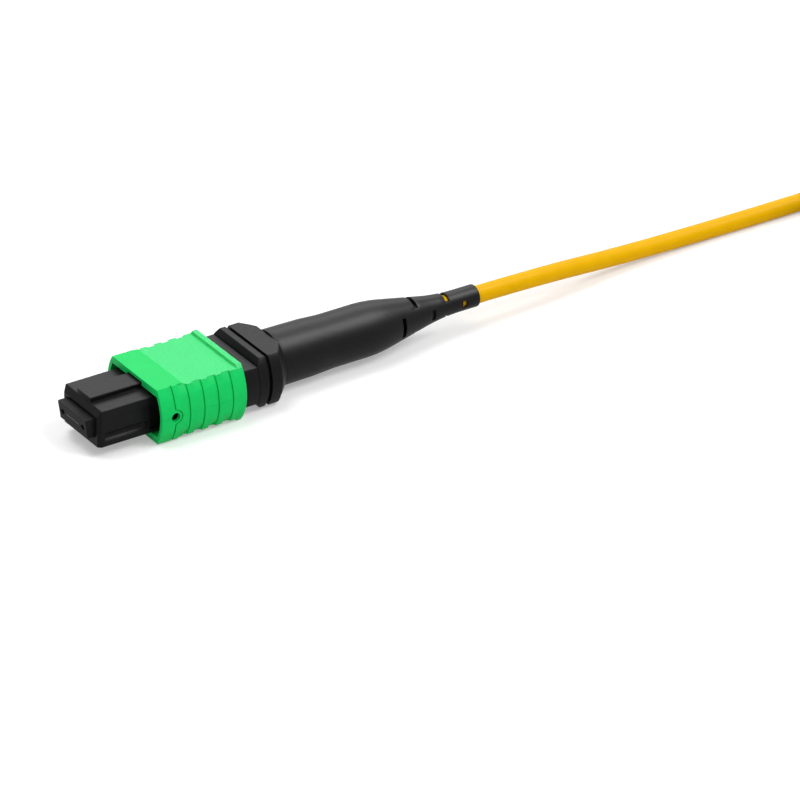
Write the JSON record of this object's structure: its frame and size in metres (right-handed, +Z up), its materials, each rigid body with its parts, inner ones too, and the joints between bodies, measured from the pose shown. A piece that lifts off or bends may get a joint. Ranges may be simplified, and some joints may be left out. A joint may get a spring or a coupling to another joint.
{
  "type": "multi-fibre push-on connector",
  "caption": "Push-on multi-fibre optical connector with a keyed housing, angled ferrule, pull-back coupling sleeve and slotted boot, on a thin round patch cord.",
  "frame": {"origin": "on the resting surface, under the middle of the first connector without its cord", "axes": "+X along the connector from its ferrule to its cord, +Y across it, +Z up on the side of the key"},
  "size_m": [0.2266, 0.0213, 0.01],
  "materials": {
    "sleeve": "satin moulded",
    "housing": "satin moulded",
    "ferrule": "polished filled resin",
    "soft_boot": "soft matte",
    "spring_steel": "bright",
    "crimp": "plated",
    "yarn": "loose filament",
    "core": "smooth",
    "fibre": "clear coated",
    "jacket": "satin extruded",
    "tie": "hook and loop"
  },
  "bodies": {
    "connector": {"main_spring": "spring_steel", "inner_housing": "housing", "sleeve_spring_near": "spring_steel", "sleeve_spring_rear": "spring_steel", "back_post": "housing", "boot_collar": "housing", "boot": "soft_boot", "aramid_yarn": "yarn", "crimp_ring": "crimp", "cable_core": "core", "jacket_end": "jacket", "far_main_spring": "spring_steel", "far_inner_housing": "housing", "far_sleeve_spring_near": "spring_steel", "far_sleeve_spring_rear": "spring_steel", "far_back_post": "housing", "far_boot_collar": "housing", "far_boot": "soft_boot", "far_aramid_yarn": "yarn", "far_crimp_ring": "crimp", "far_cable_core": "core", "far_jacket_end": "jacket", "cable_tube": "jacket", "cable_coil": "jacket", "far_cable_tube": "jacket", "coil_tie_front": "tie", "coil_tie_back": "tie"},
    "ferrule_group": {"ferrule": "ferrule", "ferrule_boot": "soft_boot", "fibre_ribbon": "fibre", "pin_keeper": "spring_steel"},
    "sleeve": {"coupling_sleeve": "sleeve"},
    "far_ferrule_group": {"far_ferrule": "ferrule", "far_ferrule_boot": "soft_boot", "far_fibre_ribbon": "fibre", "far_pin_keeper": "spring_steel"},
    "far_sleeve": {"far_coupling_sleeve": "sleeve"}
  },
  "joints": [
    {"name": "ferrule_float", "type": "slide", "parent": "connector", "child": "ferrule_group", "axis": [1, 0, 0], "range_m": [0, 0.0008], "stiffness_N_per_m": 300, "springref_m": -0.001, "deforming": ["main_spring"]},
    {"name": "sleeve_pull", "type": "slide", "parent": "connector", "child": "sleeve", "axis": [1, 0, 0], "range_m": [0, 0.002], "stiffness_N_per_m": 150, "springref_m": -0.001, "deforming": ["sleeve_spring_near", "sleeve_spring_rear"]},
    {"name": "far_ferrule_float", "type": "slide", "parent": "connector", "child": "far_ferrule_group", "axis": [1, 0, 0], "range_m": [0, 0.0008], "stiffness_N_per_m": 300, "springref_m": -0.001, "deforming": ["far_main_spring"]},
    {"name": "far_sleeve_pull", "type": "slide", "parent": "connector", "child": "far_sleeve", "axis": [1, 0, 0], "range_m": [0, 0.002], "stiffness_N_per_m": 150, "springref_m": -0.001, "deforming": ["far_sleeve_spring_near", "far_sleeve_spring_rear"]}
  ]
}
